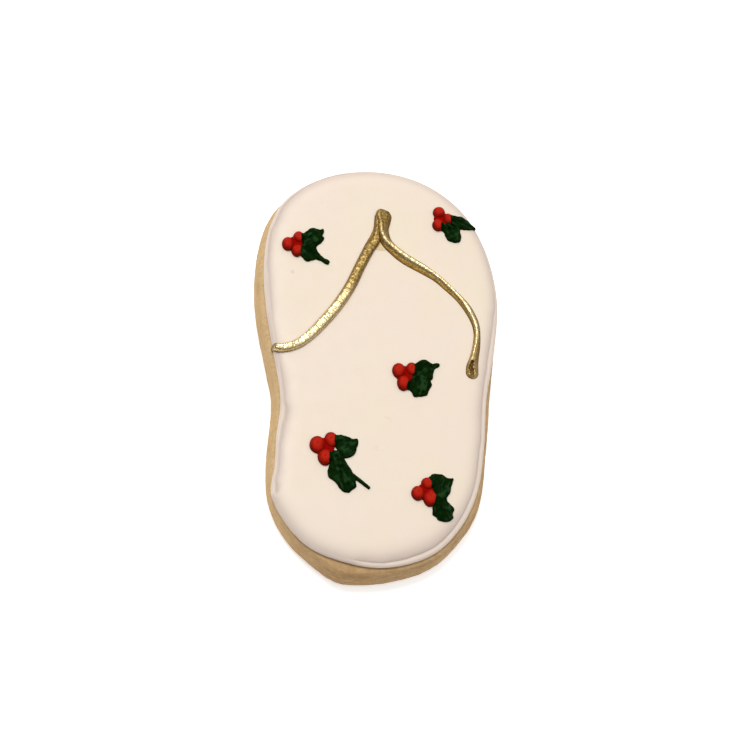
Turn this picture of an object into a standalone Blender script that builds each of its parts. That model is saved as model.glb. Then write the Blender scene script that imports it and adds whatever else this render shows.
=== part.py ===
"""Iced sugar cookie cut in the shape of a sandal sole.

A rolled biscuit carries a coat of icing with a piped rim, two piped gold straps that
meet in a V near the toe, and five piped sprigs of holly, each of three berries and two
leaves. The sole lies flat with its underside on z = 0, its toe towards +Y and its middle
near the origin. Every length in this file is in millimetres; MM turns it into metres.
"""

from math import cos, pi, sin, sqrt

import bmesh
import bpy
from mathutils import Vector

MM = 0.001

# Driving sizes.
BISCUIT_THICKNESS = 6.3
ICING_THICKNESS = 1.8
GAP = 0.3  # left between a piece and the ones it rests on or lies against
STRAP_HEIGHT = 1.0
BERRY_HEIGHT = 1.5
LEAF_HEIGHT = 0.8

# Heights of the faces that the layers rest on.
ICING_BASE = BISCUIT_THICKNESS + GAP
ICING_TOP = BISCUIT_THICKNESS + ICING_THICKNESS
TRIM_BASE = ICING_TOP + GAP

# How finely the round shapes are divided.
SOLE_STEPS = 96
STRAP_STEPS = 40
STRAP_SECTION_STEPS = 8
BERRY_STEPS = 12
LEAF_STEPS = 30
TAIL_STEPS = 10
CURVE_STEPS = 12  # samples along each stretch of a curve before it is divided evenly

# Outline of the cut dough, clockwise from the toe.
SOLE_OUTLINE = [
    (-2.0, 54.4), (12.5, 52.0), (23.4, 43.2), (29.1, 31.1), (31.2, 19.0), (30.1, 6.9),
    (28.8, -6.1), (27.5, -21.1), (25.2, -35.3), (19.2, -44.7), (13.7, -49.6), (5.0, -53.2),
    (-4.0, -54.6), (-9.0, -54.4), (-13.5, -51.8), (-21.3, -44.9), (-25.8, -36.4),
    (-26.8, -27.0), (-25.8, -9.5), (-28.0, 1.8), (-30.2, 14.0), (-30.2, 29.0),
    (-26.8, 40.8), (-17.2, 49.8),
]

# Outline of the icing, piped by hand inside the biscuit's edge, clockwise from the toe.
ICING_OUTLINE = [
    (0.0, 53.7), (12.0, 51.3), (21.6, 44.4), (27.6, 33.9), (30.4, 20.0), (29.3, 6.0),
    (27.1, -7.0), (26.2, -20.0), (24.3, -31.5), (20.2, -40.4), (13.2, -47.7), (2.0, -51.6),
    (-7.9, -50.9), (-16.9, -47.5), (-23.2, -40.8), (-26.0, -34.3), (-25.3, -29.0),
    (-24.9, -20.0), (-24.1, -11.0), (-26.2, 2.0), (-28.1, 13.0), (-28.9, 24.0),
    (-27.6, 35.5), (-23.5, 43.8), (-13.0, 51.1),
]

# Side profiles as (distance in from the outline, height), from the bottom up.
BISCUIT_PROFILE = [
    (1.0, 0.0), (0.25, 0.5), (0.0, 1.6), (0.1, 3.4), (0.35, 5.0), (0.9, 5.95),
    (1.7, BISCUIT_THICKNESS),
]
ICING_PROFILE = [  # foot, round rim, groove inside the rim, then the flooded middle
    (0.3, ICING_BASE), (0.0, 6.95), (0.1, 7.35), (0.6, 7.7), (1.1, 7.65), (1.5, 7.5),
    (2.3, 7.7), (3.8, 8.0), (5.5, ICING_TOP),
]

# Centre lines of the straps as (x, y, half width), from the toe to the outer end.
STRAP_LINES = {
    "left": [
        (-1.15, 37.9, 0.3), (-1.2, 36.6, 0.55), (-1.35, 35.2, 0.9), (-1.8, 33.4, 1.15),
        (-2.6, 31.1, 1.3), (-4.8, 26.3, 1.3), (-7.4, 20.3, 1.3), (-11.0, 14.1, 1.3),
        (-14.9, 9.1, 1.25), (-17.9, 5.7, 1.2), (-20.9, 3.3, 1.15), (-23.9, 2.0, 1.05),
        (-26.1, 2.0, 0.85),
    ],
    "right": [
        (0.7, 42.4, 1.0), (0.85, 41.4, 1.6), (0.95, 40.0, 1.9), (1.05, 37.6, 1.4),
        (1.45, 35.1, 1.3), (3.2, 31.9, 1.35), (6.5, 29.1, 1.35), (10.9, 26.6, 1.2),
        (14.5, 24.5, 1.0), (17.4, 22.1, 0.95), (20.3, 19.4, 0.95), (22.5, 16.5, 1.0),
        (24.2, 13.0, 0.95), (24.7, 10.0, 0.85), (24.5, 6.5, 0.95), (23.9, 3.4, 1.1),
        (23.2, 0.6, 1.45), (23.2, -1.5, 1.2), (23.2, -2.4, 0.6),
    ],
}

# Sprigs of holly. A berry is (x, y, half length along X, half length along Y). A leaf has
# an outline, clockwise from its upper left, and the two ends of its central crease; a
# drawn-out tail is a further line of (x, y, half width).
SPRIGS = {
    "upper_left": {
        "berries": [(-23.2, 30.5, 1.17, 1.45), (-20.5, 32.5, 1.17, 1.3), (-20.9, 28.9, 1.1, 1.35)],
        "leaves": [
            {
                "outline": [
                    (-19.0, 33.4), (-18.3, 34.7), (-17.2, 35.5), (-15.9, 35.3), (-15.0, 35.1),
                    (-14.3, 35.6), (-14.2, 34.5), (-14.7, 33.6), (-14.0, 33.1), (-14.5, 32.1),
                    (-15.2, 31.2), (-16.2, 30.7), (-17.6, 30.7), (-18.9, 30.9), (-19.1, 32.1),
                ],
                "crease": [(-18.0, 32.2), (-16.0, 33.6)],
            },
            {
                "outline": [
                    (-19.2, 30.6), (-17.8, 30.4), (-16.5, 30.5), (-16.1, 29.7), (-15.5, 28.7),
                    (-14.6, 27.6), (-15.7, 27.0), (-17.2, 26.6), (-18.0, 26.2), (-18.7, 26.2),
                    (-19.4, 27.2), (-19.3, 28.9),
                ],
                "crease": [(-18.0, 29.4), (-16.9, 27.9)],
                "tail": [
                    (-16.2, 27.8, 0.7), (-15.0, 27.4, 0.5), (-14.2, 26.9, 0.4),
                    (-13.4, 26.5, 0.7), (-12.7, 26.2, 0.4),
                ],
            },
        ],
    },
    "upper_right": {
        "berries": [(15.4, 42.8, 1.27, 1.3), (15.1, 39.3, 1.17, 1.33), (17.7, 41.2, 1.1, 1.25)],
        "leaves": [
            {
                "outline": [
                    (19.2, 42.5), (20.3, 42.2), (21.3, 42.5), (22.3, 41.9), (23.3, 41.1),
                    (24.2, 40.2), (25.2, 39.4), (24.0, 39.2), (22.9, 38.8), (21.7, 38.9),
                    (20.5, 39.0), (19.3, 39.5), (19.0, 41.1),
                ],
                "crease": [(20.2, 41.0), (23.0, 39.9)],
            },
            {
                "outline": [
                    (16.6, 39.3), (18.6, 39.2), (20.4, 38.6), (20.9, 37.5), (21.0, 36.3),
                    (20.8, 35.4), (19.9, 35.0), (18.8, 35.0), (17.7, 35.4), (17.1, 36.4),
                    (16.9, 37.5), (16.5, 38.2),
                ],
                "crease": [(18.3, 38.2), (19.4, 36.5)],
            },
        ],
    },
    "middle": {
        "berries": [(4.8, -1.5, 1.33, 1.6), (8.0, -1.0, 1.2, 1.5), (5.9, -4.7, 1.25, 1.6)],
        "leaves": [
            {
                "outline": [
                    (9.4, 0.9), (10.1, 1.8), (11.3, 1.9), (12.4, 1.4), (13.2, 0.9), (14.1, 1.2),
                    (15.2, 0.9), (14.6, 0.3), (13.8, -0.2), (13.4, -1.4), (13.4, -3.1),
                    (11.3, -2.8), (9.4, -2.5), (9.4, -0.8),
                ],
                "crease": [(10.4, -1.1), (12.6, 0.2)],
            },
            {
                "outline": [
                    (9.0, -2.6), (11.0, -3.0), (12.7, -3.7), (12.8, -4.1), (13.2, -4.7),
                    (12.6, -5.5), (12.2, -6.5), (11.9, -7.4), (11.0, -7.7), (9.8, -7.8),
                    (8.9, -8.1), (8.4, -7.9), (8.2, -7.0), (7.3, -6.3), (7.7, -4.7),
                    (8.1, -3.4),
                ],
                "crease": [(10.6, -4.0), (9.7, -6.7)],
            },
        ],
    },
    "lower_left": {
        "berries": [(-15.2, -22.3, 1.5, 1.75), (-11.9, -20.9, 1.35, 1.65), (-13.3, -25.3, 1.42, 1.7)],
        "leaves": [
            {
                "outline": [
                    (-10.3, -19.6), (-9.5, -19.1), (-8.6, -19.5), (-7.5, -19.9), (-6.5, -20.3),
                    (-5.4, -20.1), (-5.2, -20.8), (-5.6, -22.1), (-5.8, -23.5), (-6.4, -24.5),
                    (-7.4, -25.1), (-8.6, -25.1), (-9.4, -24.4), (-10.1, -23.4), (-10.3, -21.5),
                ],
                "crease": [(-9.2, -22.6), (-6.9, -21.4)],
            },
            {
                "outline": [
                    (-11.3, -23.6), (-9.9, -24.2), (-8.9, -25.6), (-7.7, -26.9), (-6.7, -28.4),
                    (-5.9, -29.9), (-5.8, -31.4), (-5.6, -32.5), (-6.7, -32.9), (-6.9, -33.5),
                    (-8.0, -33.9), (-9.2, -33.3), (-10.1, -32.2), (-10.7, -31.5),
                    (-11.6, -31.0), (-12.4, -30.6), (-12.7, -29.6), (-12.7, -28.3),
                    (-11.7, -27.4), (-11.6, -25.6),
                ],
                "crease": [(-10.3, -25.9), (-8.2, -31.4)],
                "tail": [
                    (-7.0, -29.4, 0.6), (-5.2, -30.4, 0.45), (-3.6, -31.6, 0.4),
                    (-2.4, -32.5, 0.35),
                ],
            },
        ],
    },
    "lower_right": {
        "berries": [(9.3, -33.0, 1.3, 1.45), (11.7, -30.5, 1.27, 1.33), (12.3, -34.0, 1.45, 1.75)],
        "leaves": [
            {
                "outline": [
                    (12.6, -27.9), (14.0, -27.6), (15.2, -27.9), (16.3, -28.4), (17.2, -28.8),
                    (18.1, -28.6), (17.8, -29.8), (17.4, -30.8), (17.4, -31.8), (17.1, -32.7),
                    (16.3, -33.5), (15.2, -33.8), (14.2, -33.0), (13.4, -31.7), (13.1, -29.9),
                    (12.4, -28.9),
                ],
                "crease": [(14.7, -32.0), (15.8, -29.6)],
            },
            {
                "outline": [
                    (14.5, -33.8), (16.0, -34.1), (17.0, -35.2), (18.2, -36.0), (18.4, -36.6),
                    (17.9, -37.3), (17.6, -37.9), (18.1, -38.3), (17.3, -39.1), (16.6, -39.6),
                    (15.3, -39.5), (14.1, -39.3), (13.7, -38.6), (12.9, -38.5), (12.7, -38.1),
                    (12.9, -37.3), (13.2, -36.4), (13.9, -35.6), (14.2, -34.8),
                ],
                "crease": [(15.3, -35.5), (15.7, -37.9)],
            },
        ],
    },
}

# Profile of a berry as (share of its radius, share of its height), from the bottom up.
BERRY_PROFILE = [(0.8, 0.0), (1.0, 0.3), (0.93, 0.58), (0.68, 0.84), (0.3, 1.0)]

# Cross levels of a leaf as (share kept of the distance from the crease, share of height):
# a foot, a swelling side, a ridge all round, and the crease sunk inside the ridge.
LEAF_PROFILE = [(1.0, 0.0), (1.0, 0.45), (0.8, 0.9), (0.5, 1.0), (0.15, 0.75)]


def clear_scene():
    """Remove the objects of the open scene."""
    for item in list(bpy.data.objects):
        bpy.data.objects.remove(item, do_unlink=True)


def material(name, colour, roughness, metallic=0.0):
    """A Principled material of one colour."""
    surface = bpy.data.materials.new(name)
    surface.use_nodes = True
    shader = surface.node_tree.nodes["Principled BSDF"]
    shader.inputs["Base Color"].default_value = (*colour, 1.0)
    shader.inputs["Roughness"].default_value = roughness
    shader.inputs["Metallic"].default_value = metallic
    return surface


def curve_point(before, start, end, after, share):
    """Point at a share of the way along the centripetal Catmull-Rom stretch start-end."""
    knot_1 = sqrt((start - before).length)
    knot_2 = knot_1 + sqrt((end - start).length)
    knot_3 = knot_2 + sqrt((after - end).length)
    knot = knot_1 + share * (knot_2 - knot_1)
    first = before.lerp(start, knot / knot_1)
    second = start.lerp(end, (knot - knot_1) / (knot_2 - knot_1))
    third = end.lerp(after, (knot - knot_2) / (knot_3 - knot_2))
    left = first.lerp(second, knot / knot_2)
    right = second.lerp(third, (knot - knot_1) / (knot_3 - knot_1))
    return left.lerp(right, share)


def evenly_spaced(points, count, closed):
    """Resample a polyline to a number of points equally far apart along it."""
    if closed:
        points = points + points[:1]
    reach = [0.0]
    for start, end in zip(points, points[1:]):
        reach.append(reach[-1] + (end - start).length)
    spacing = reach[-1] / (count if closed else count - 1)
    result = []
    stretch = 0
    for step in range(count):
        goal = min(step * spacing, reach[-1])
        while stretch < len(points) - 2 and reach[stretch + 1] < goal:
            stretch += 1
        length = reach[stretch + 1] - reach[stretch]
        result.append(points[stretch].lerp(points[stretch + 1], (goal - reach[stretch]) / length))
    return result


def smooth_loop(points, count):
    """Closed smooth curve through points, as evenly spaced vectors."""
    knots = [Vector(point) for point in points]
    total = len(knots)
    samples = []
    for index in range(total):
        for step in range(CURVE_STEPS):
            samples.append(curve_point(
                knots[index - 1], knots[index], knots[(index + 1) % total],
                knots[(index + 2) % total], step / CURVE_STEPS))
    return evenly_spaced(samples, count, closed=True)


def smooth_line(points, count):
    """Open smooth curve through points, as evenly spaced vectors."""
    knots = [Vector(point) for point in points]
    knots.insert(0, 2 * knots[0] - knots[1])
    knots.append(2 * knots[-1] - knots[-2])
    samples = []
    for index in range(1, len(knots) - 2):
        for step in range(CURVE_STEPS):
            samples.append(curve_point(*knots[index - 1:index + 3], step / CURVE_STEPS))
    samples.append(knots[-2])
    return evenly_spaced(samples, count, closed=False)


def moved_in(loop, distance):
    """A clockwise loop with every point moved inwards, at right angles to the loop."""
    result = []
    total = len(loop)
    for index, point in enumerate(loop):
        along = (loop[(index + 1) % total] - loop[index - 1]).normalized()
        result.append(point + distance * Vector((along.y, -along.x)))
    return result


def at_height(loop, height):
    """A flat loop lifted to a height."""
    return [Vector((point.x, point.y, height)) for point in loop]


def solid(name, rings, surface):
    """Closed solid through rings of equal count, with a flat face on each end ring."""
    count = len(rings[0])
    corners = [MM * point for ring in rings for point in ring]
    faces = [list(range(count)), list(range(len(corners) - count, len(corners)))]
    for level in range(len(rings) - 1):
        low = level * count
        for step in range(count):
            following = (step + 1) % count
            faces.append([low + step, low + following, low + count + following, low + count + step])
    mesh = bpy.data.meshes.new(name)
    mesh.from_pydata(corners, [], faces)
    shape = bmesh.new()
    shape.from_mesh(mesh)
    bmesh.ops.recalc_face_normals(shape, faces=shape.faces)
    shape.to_mesh(mesh)
    shape.free()
    mesh.shade_smooth()
    mesh.set_sharp_from_angle(angle=pi / 4)
    mesh.materials.append(surface)
    item = bpy.data.objects.new(name, mesh)
    bpy.context.scene.collection.objects.link(item)
    return item


def layer(name, outline, profile, surface):
    """A flat layer: one outline, moved in and lifted along a side profile."""
    loop = smooth_loop(outline, SOLE_STEPS)
    rings = [at_height(moved_in(loop, inset), height) for inset, height in profile]
    return solid(name, rings, surface)


def piped_line(name, line, height, steps, surface):
    """A piped bead of half-round section on a flat foot, along (x, y, half width) points."""
    stations = smooth_line(line, steps)
    rings = []
    for index, station in enumerate(stations):
        ahead = stations[min(index + 1, steps - 1)]
        behind = stations[max(index - 1, 0)]
        along = (ahead - behind).xy.normalized()
        across = Vector((along.y, -along.x))
        half_width = station.z
        rise = height * min(1.0, half_width / line[len(line) // 2][2])
        ring = []
        for step in range(STRAP_SECTION_STEPS + 1):
            turn = pi * step / STRAP_SECTION_STEPS
            place = station.xy + half_width * cos(turn) * across
            ring.append(Vector((place.x, place.y, TRIM_BASE + rise * sin(turn) ** 0.8)))
        rings.append(ring)
    return solid(name, rings, surface)


def berry(name, x, y, half_x, half_y, surface):
    """A piped dot: a round dome with a small flat foot."""
    rings = []
    for radius_share, height_share in BERRY_PROFILE:
        ring = []
        for step in range(BERRY_STEPS):
            turn = 2 * pi * step / BERRY_STEPS
            ring.append(Vector((
                x + half_x * radius_share * cos(turn),
                y + half_y * radius_share * sin(turn),
                TRIM_BASE + BERRY_HEIGHT * height_share)))
        rings.append(ring)
    return solid(name, rings, surface)


def towards_crease(point, crease, share):
    """Keep a share of the distance between a point and the nearest place on the crease."""
    start, end = (Vector(place) for place in crease)
    run = end - start
    foot = max(0.0, min(1.0, (point - start).dot(run) / run.length_squared))
    nearest = start + foot * run
    return nearest.lerp(point, share)


def leaf(name, shape, surface):
    """A piped leaf: ridged all round, creased along its middle, some with a drawn-out tail."""
    loop = moved_in(smooth_loop(shape["outline"], LEAF_STEPS), GAP / 2)
    rings = []
    for share, height_share in LEAF_PROFILE:
        ring = [towards_crease(point, shape["crease"], share) for point in loop]
        rings.append(at_height(ring, TRIM_BASE + LEAF_HEIGHT * height_share))
    item = solid(name, rings, surface)
    if "tail" in shape:
        tail = piped_line(name + "_tail", shape["tail"], 0.8 * LEAF_HEIGHT, TAIL_STEPS, surface)
        tail.hide_render = True
        tail.display_type = "WIRE"
        join = item.modifiers.new("tail", "BOOLEAN")
        join.operation = "UNION"
        join.solver = "EXACT"
        join.object = tail
    return item


def build():
    """Make every piece of the cookie."""
    clear_scene()
    baked = material("biscuit", (0.56, 0.37, 0.17), 0.85)
    cream = material("icing", (0.92, 0.80, 0.67), 0.4)
    gold = material("gold", (0.55, 0.38, 0.12), 0.3, metallic=1.0)
    red = material("berry", (0.50, 0.02, 0.01), 0.35)
    green = material("leaf", (0.005, 0.03, 0.008), 0.45)
    layer("biscuit", SOLE_OUTLINE, BISCUIT_PROFILE, baked)
    layer("icing", ICING_OUTLINE, ICING_PROFILE, cream)
    for side, line in STRAP_LINES.items():
        piped_line("strap_" + side, line, STRAP_HEIGHT, STRAP_STEPS, gold)
    for place, sprig in SPRIGS.items():
        for number, sizes in enumerate(sprig["berries"], start=1):
            berry(f"berry_{place}_{number}", *sizes, red)
        for number, shape in enumerate(sprig["leaves"], start=1):
            leaf(f"leaf_{place}_{number}", shape, green)


build()
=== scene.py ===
"""Looks of the iced sugar cookie: every CAD node is replaced by a detailed mesh in its place.

Lengths are in millimetres, as in the CAD source, and MM turns them into metres. The
outlines of the biscuit, the icing and the leaves and the places of the berries are read
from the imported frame; the straps' centre lines and the leaves' creases are repeated here.
"""

from math import cos, pi, radians, sin

import bpy
import numpy as np
from mathutils import Matrix, Vector, geometry, noise


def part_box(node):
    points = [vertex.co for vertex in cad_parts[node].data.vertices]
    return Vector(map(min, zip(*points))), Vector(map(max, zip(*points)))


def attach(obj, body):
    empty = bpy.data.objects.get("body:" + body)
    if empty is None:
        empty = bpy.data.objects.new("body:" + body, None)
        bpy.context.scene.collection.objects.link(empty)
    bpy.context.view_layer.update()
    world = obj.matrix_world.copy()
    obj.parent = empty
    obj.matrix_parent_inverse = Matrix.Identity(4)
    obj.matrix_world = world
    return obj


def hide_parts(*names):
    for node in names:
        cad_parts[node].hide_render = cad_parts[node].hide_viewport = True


MM = 0.001

# Biscuit.
BISCUIT_AROUND = 720
STREAK_DEPTH = 0.08
SWELL_DEPTH = 0.10
CRUMB_DEPTH = 0.035
WALL_INSET = 0.12  # keeps the uneven wall inside the CAD outline

# Icing: a piped outline bead at the rim, a crease inside it, and the flooded middle.
ICING_AROUND = 720
ICING_FOOT = 0.1  # how far the icing goes into the biscuit's top
ICING_EDGE = 0.45  # height of the icing's widest line above the biscuit
ICING_TOP = 8.1
BEAD_RISE = 0.62  # heights above the icing's widest line
CREASE_RISE = 0.34
CREASE_RISE_AT_HEEL = 0.12
BEAD_RISE_AT_HEEL = 0.5
RIM_SHADE = 0.36  # painted shade: the icing is painted greyer over this share of its rolled edge
HEEL_FROM = -33.0  # the heel's wider rolled edge comes in over a length from here
HEEL_FADE = 12.0
BROWN_FROM = -42.0  # from here the dough turns browner towards the heel
BROWN_SIDE = 11.0  # and from here it is painted darker towards its right side
BROWN_SIDE_FADE = 8.0
ROLL_WIDTH = 4.4
ROLL_WIDTH_AT_HEEL = 6.2
FLOOD_RELIEF = 0.03

# The rim's features, clockwise from the toe: (x, y, width of the bead, strength of its crease).
RIM = [
    (0.0, 53.7, 0.5, 0.3), (-13.0, 51.1, 0.4, 0.5), (-19.0, 48.0, 0.4, 0.6),
    (-22.0, 45.6, 0.8, 0.7), (-24.6, 42.0, 0.9, 0.8), (-26.6, 38.0, 1.1, 0.8),
    (-28.0, 33.0, 0.8, 0.8), (-28.7, 27.0, 0.9, 0.8), (-28.6, 19.0, 1.3, 0.6),
    (-26.6, 4.0, 1.0, 0.3), (-24.1, -9.9, 0.9, 0.7), (-24.4, -14.5, 1.5, 1.0),
    (-24.8, -19.0, 1.2, 0.9), (-25.1, -24.0, 0.9, 0.7), (-25.5, -31.0, 0.9, 0.7),
    (-25.9, -33.3, 1.3, 0.9), (-25.3, -37.2, 0.5, 0.1), (-19.0, -45.8, 0.8, 0.0),
    (-10.0, -50.3, 0.9, 0.1), (-0.9, -51.7, 1.1, 0.8), (5.0, -51.1, 1.25, 1.0),
    (10.5, -49.3, 1.4, 0.9), (15.6, -45.8, 1.25, 0.9), (18.6, -42.8, 1.25, 0.9),
    (21.8, -37.0, 1.25, 0.9), (24.5, -30.0, 1.15, 0.9), (26.0, -22.0, 1.15, 0.9),
    (26.4, -17.0, 1.0, 0.9), (26.9, -9.0, 1.05, 1.0), (28.2, -1.0, 1.2, 0.9),
    (29.1, 4.0, 1.4, 0.9), (29.7, 9.0, 1.25, 0.9), (30.1, 14.0, 1.1, 0.8),
    (30.4, 19.0, 0.65, 0.8), (30.0, 24.0, 0.5, 0.6), (24.0, 42.0, 0.4, 0.5),
]

# Small marks in the flooded icing, dents painted darker, partly their own colour and partly painted shade:
# (x, y, radius, depth).
ICING_MARKS = [
    (-21.8, 23.0, 0.35, 0.12), (1.9, -14.1, 0.30, 0.06), (2.7, -14.5, 0.22, 0.05),
    (-0.9, -21.9, 0.35, 0.05), (-0.5, -22.6, 0.25, 0.05), (-14.7, 42.9, 0.25, 0.04),
]

# Centre lines of the straps, from the toe: (x, y, half width, height, crest, skirt), where
# the crest is the place of the highest line between the lower side, -1, and the upper side,
# 1, and the skirt is the share of the height that the strap's broad foot reaches.
LEFT_STRAP = [
    (-0.7, 40.9, 0.45, 0.7, -0.3, 0.3), (-0.8, 39.0, 0.52, 0.85, -0.4, 0.3),
    (-0.9, 37.05, 0.62, 0.95, -0.5, 0.3), (-1.05, 35.4, 1.0, 1.0, -0.5, 0.3),
    (-1.4, 33.4, 1.5, 1.1, -0.4, 0.3), (-2.6, 31.15, 1.42, 1.15, -0.15, 0.3),
    (-4.8, 26.35, 1.36, 1.15, 0.0, 0.3), (-7.4, 20.3, 1.4, 1.15, 0.0, 0.3),
    (-11.0, 14.2, 1.4, 1.15, 0.0, 0.3), (-14.9, 9.1, 1.35, 1.15, 0.0, 0.3),
    (-17.9, 5.7, 1.25, 1.15, 0.0, 0.3), (-20.9, 3.4, 1.2, 1.2, 0.0, 0.3),
    (-23.9, 2.4, 1.12, 1.3, 0.0, 0.3), (-25.5, 2.5, 1.05, 1.55, 0.0, 0.3),
    (-26.6, 2.75, 1.0, 1.8, 0.0, 0.3),
]
RIGHT_STRAP = [
    (0.6, 42.6, 1.45, 1.1, -0.6, 0.96), (0.68, 41.8, 1.74, 1.2, -0.62, 0.96),
    (0.9, 41.0, 1.96, 1.28, -0.66, 0.96), (1.05, 40.2, 2.12, 1.3, -0.68, 0.96),
    (1.1, 38.7, 1.72, 1.3, -0.55, 0.95),
    (0.95, 37.1, 1.5, 1.3, -0.4, 0.92), (1.1, 35.4, 1.5, 1.25, -0.25, 0.85),
    (1.75, 33.5, 1.48, 1.2, 0.0, 0.7), (3.25, 31.75, 1.45, 1.15, 0.25, 0.55),
    (6.5, 29.15, 1.5, 1.1, 0.35, 0.5), (10.95, 26.7, 1.33, 1.0, 0.4, 0.5),
    (14.55, 24.5, 1.07, 0.95, 0.4, 0.5), (17.4, 22.1, 1.03, 0.9, 0.35, 0.5),
    (20.25, 19.45, 1.0, 0.85, 0.2, 0.5), (22.55, 16.55, 1.09, 0.85, 0.0, 0.5),
    (24.25, 13.05, 1.0, 0.9, -0.1, 0.5), (24.75, 10.0, 0.88, 0.95, -0.2, 0.5),
    (24.5, 6.5, 1.0, 1.0, -0.35, 0.5), (23.9, 3.4, 1.17, 1.1, -0.4, 0.5),
    (23.35, 0.6, 1.6, 1.2, -0.2, 0.6), (23.4, -2.2, 1.6, 1.05, 0.1, 0.6),
]
STRAP_STEP = 0.08  # between its rings, on average; they are closer towards the ends
STRAP_SECTION = 26
STRAP_SINK = 0.25
FOOT_SHADE_SHARE = 0.9  # below this share of a strap's height the gold is painted darker bronze, painted shade on its flanks and foot
DULL_FADE = 8.0  # towards the toe the gold turns from shiny to matt over this length
CURL_HOLLOW = [(23.3, 2.0), (22.95, 1.1), (22.7, 0.45), (23.15, -0.1), (23.15, -1.0)]
CURL_WIDTH = 0.5  # half the width of that crooked cavity in the curled end of the right strap
TIP_SHADE = 1.4  # painted shade darkens the gold this far round the left strap's tip
CURL = (23.3, -0.3)  # middle of the curled end, where the painted shade at the foot is weaker
CURL_RADIUS = 2.3
GOLD_SMEAR = [
    (-0.9, 34.6), (0.5, 34.8), (2.2, 33.0), (2.6, 31.6), (1.3, 30.9), (-0.5, 30.9), (-1.7, 31.4),
]

# Berries and leaves.
BERRY_SWELL = 1.26  # the berries are piped into one another, so they are wider than their nodes
BERRY_SINK = 0.3
BERRY_TALL = 1.55
JOINT_SHADE_WIDTH = 1.0  # painted shade: how far from their middle the three berries of a sprig are painted deeper red
WEB_HEIGHT = 0.8  # red icing that fills the middle between three berries
WEB_SPREAD = 1.1  # its radius, as a share of how far the berries are from their middle
LEAF_GROWTH = 0.3
LEAF_LAP = 0.85  # how far a leaf reaches over the berries beside it
LEAF_HEIGHT = 1.1
LEAF_GRID = 0.15
LEAF_SHOULDER = 0.75
CREASES = {
    "upper_left_1": ((-18.0, 32.3), (-15.6, 34.0)), "upper_left_2": ((-18.2, 30.1), (-16.4, 27.5)),
    "upper_right_1": ((19.6, 41.2), (23.8, 39.5)), "upper_right_2": ((18.0, 38.5), (19.4, 36.2)),
    "middle_1": ((9.9, -1.5), (13.4, 0.7)), "middle_2": ((10.8, -3.6), (9.6, -7.1)),
    "lower_left_1": ((-9.7, -23.0), (-6.2, -21.1)), "lower_left_2": ((-10.6, -25.2), (-7.9, -32.2)),
    "lower_right_1": ((14.5, -32.8), (16.3, -29.0)), "lower_right_2": ((15.1, -34.8), (15.9, -38.6)),
}

# Camera and light.
AIM = (-0.8, -2.35, 6.5)
CAMERA_AZIMUTH = radians(-24)
CAMERA_ELEVATION = radians(65)
CAMERA_DISTANCE = 500.0
CAMERA_LENS = 97.9
KEY_PLACE = (-330.0, 850.0, 1780.0)
KEY_SIZE = 750.0
KEY_POWER = 20.6
SKY_LIGHT = 0.85
SKY_DARK = 0.15
SKY_LEAN = (0.0, 0.3, 0.954)  # towards the sky's brightest part
SKY_DARK_FROM = 0.25  # how near to that direction the sky begins to brighten
SKY_LIGHT_FROM = 0.85
FLOOR_GLOW = 0.5  # the floor is a light table, so that the shadow on it stays faint


# Curves and outlines, as arrays of points.

def spread(points, count, closed):
    """Evenly spaced places along the straight runs between points."""
    knots = np.vstack([points, points[:1]]) if closed else np.asarray(points, float)
    steps = np.linalg.norm(np.diff(knots[:, :2], axis=0), axis=1)
    reach = np.concatenate([[0], np.cumsum(steps)])
    goals = np.linspace(0, reach[-1], count, endpoint=not closed)
    return np.stack([np.interp(goals, reach, column) for column in knots.T], axis=1)


def smooth_curve(points, count, closed):
    """Smooth curve through points, as evenly spaced places along it."""
    knots = np.asarray(points, float)
    if closed:
        padded = np.vstack([knots[-1:], knots, knots[:2]])
    else:
        padded = np.vstack([2 * knots[:1] - knots[1:2], knots, 2 * knots[-1:] - knots[-2:-1]])
    share = np.linspace(0, 1, 16, endpoint=False)[:, None]
    pieces = []
    for before, start, end, after in zip(padded, padded[1:], padded[2:], padded[3:]):
        pieces.append(0.5 * (
            2 * start + (end - before) * share
            + (2 * before - 5 * start + 4 * end - after) * share ** 2
            + (3 * start - before - 3 * end + after) * share ** 3))
    if not closed:
        pieces.append(knots[-1:])
    return spread(np.vstack(pieces), count, closed)


def inward_normals(loop):
    """Unit vectors that point into a closed loop, whichever way round it runs."""
    along = np.roll(loop, -1, axis=0) - np.roll(loop, 1, axis=0)
    along /= np.linalg.norm(along, axis=1)[:, None]
    turned = np.stack([-along[:, 1], along[:, 0]], axis=1)
    following = np.roll(loop, -1, axis=0)
    area = np.sum(loop[:, 0] * following[:, 1] - following[:, 0] * loop[:, 1])
    return turned if area > 0 else -turned


def node_corners(name):
    """The corners of a CAD node's triangles, as an array (triangle, corner, axis)."""
    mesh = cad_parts[name].data
    mesh.calc_loop_triangles()
    places = np.array([vertex.co for vertex in mesh.vertices]) / MM
    return places[np.array([triangle.vertices for triangle in mesh.loop_triangles])]


def outer_loop(name, height, count):
    """A CAD node's outline at a height, as a dense smooth loop."""
    corners = node_corners(name).reshape(-1, 3)
    level = corners[np.abs(corners[:, 2] - height) < 0.01][:, :2]
    level = np.unique(np.round(level, 3), axis=0)
    ordered = level[np.argsort(np.arctan2(level[:, 1], level[:, 0]))]
    return smooth_curve(ordered, count, closed=True)


def foot_loop(name):
    """The outline of a CAD node's flat foot, in order along its edge."""
    triangles = node_corners(name)
    foot = triangles[np.all(triangles[..., 2] < triangles[..., 2].min() + 0.001, axis=1)]
    links = {}
    for triangle in np.round(foot[..., :2], 3):
        names = [tuple(corner) for corner in triangle]
        for start, end in zip(names, names[1:] + names[:1]):
            links.setdefault(start, set()).symmetric_difference_update({end})
            links.setdefault(end, set()).symmetric_difference_update({start})
    path = [next(place for place, ends in links.items() if ends)]
    before = None
    while True:
        following = [end for end in sorted(links[path[-1]]) if end != before][0]
        before = path[-1]
        if following == path[0]:
            return np.array(path)
        path.append(following)


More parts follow.
